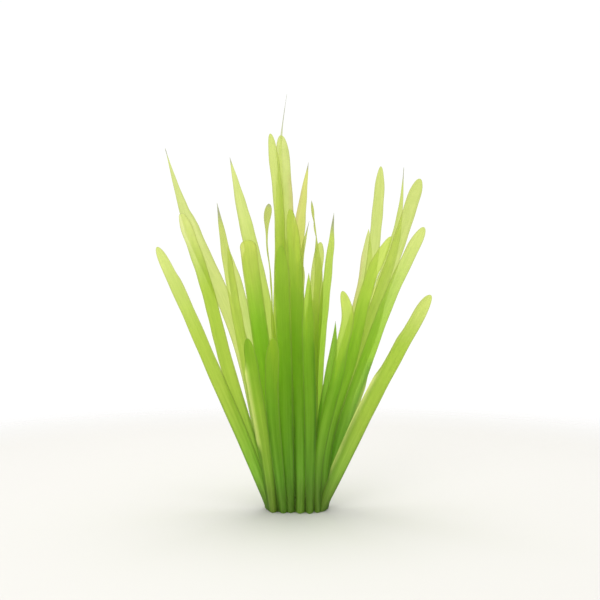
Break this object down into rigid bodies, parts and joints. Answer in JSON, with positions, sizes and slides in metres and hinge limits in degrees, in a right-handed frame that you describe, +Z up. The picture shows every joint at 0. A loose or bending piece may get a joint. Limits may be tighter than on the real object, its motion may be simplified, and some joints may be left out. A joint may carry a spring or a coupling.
{
  "type": "tape grass plant",
  "caption": "Upright tuft of thin translucent strap leaves fanned out from one oval crown, cut off flat at its foot to stand on a surface.",
  "frame": {"origin": "centre of the crown's flat cut face", "axes": "+Z up along the tuft, away from the cut face; -Y is the front of the fan of leaves; +X to the right seen from the front"},
  "size_m": [0.1068, 0.0706, 0.1701],
  "materials": {
    "leaf": "thin translucent yellow-green leaf with fine lengthwise veins, satin",
    "crown": "dense dark green leaf bases with paler fibres at the cut, satin"
  },
  "bodies": {
    "root": {"crown": "crown", "leaf_left_1": "leaf", "leaf_left_2": "leaf", "leaf_left_3": "leaf", "leaf_left_4": "leaf", "leaf_left_5": "leaf", "leaf_left_6": "leaf", "leaf_left_7": "leaf", "leaf_middle_1": "leaf", "leaf_middle_2": "leaf", "leaf_middle_3": "leaf", "leaf_middle_4": "leaf", "leaf_middle_5": "leaf", "leaf_middle_6": "leaf", "leaf_middle_7": "leaf", "leaf_middle_8": "leaf", "leaf_middle_9": "leaf", "leaf_middle_10": "leaf", "leaf_right_1": "leaf", "leaf_right_2": "leaf", "leaf_right_3": "leaf", "leaf_right_4": "leaf", "leaf_right_5": "leaf", "leaf_right_6": "leaf", "leaf_right_7": "leaf", "leaf_front_1": "leaf", "leaf_front_2": "leaf", "leaf_front_3": "leaf", "leaf_front_4": "leaf", "leaf_front_5": "leaf", "leaf_front_6": "leaf", "leaf_back_1": "leaf", "leaf_back_2": "leaf", "leaf_back_3": "leaf", "leaf_back_4": "leaf", "leaf_back_5": "leaf", "leaf_back_6": "leaf"}
  },
  "joints": []
}
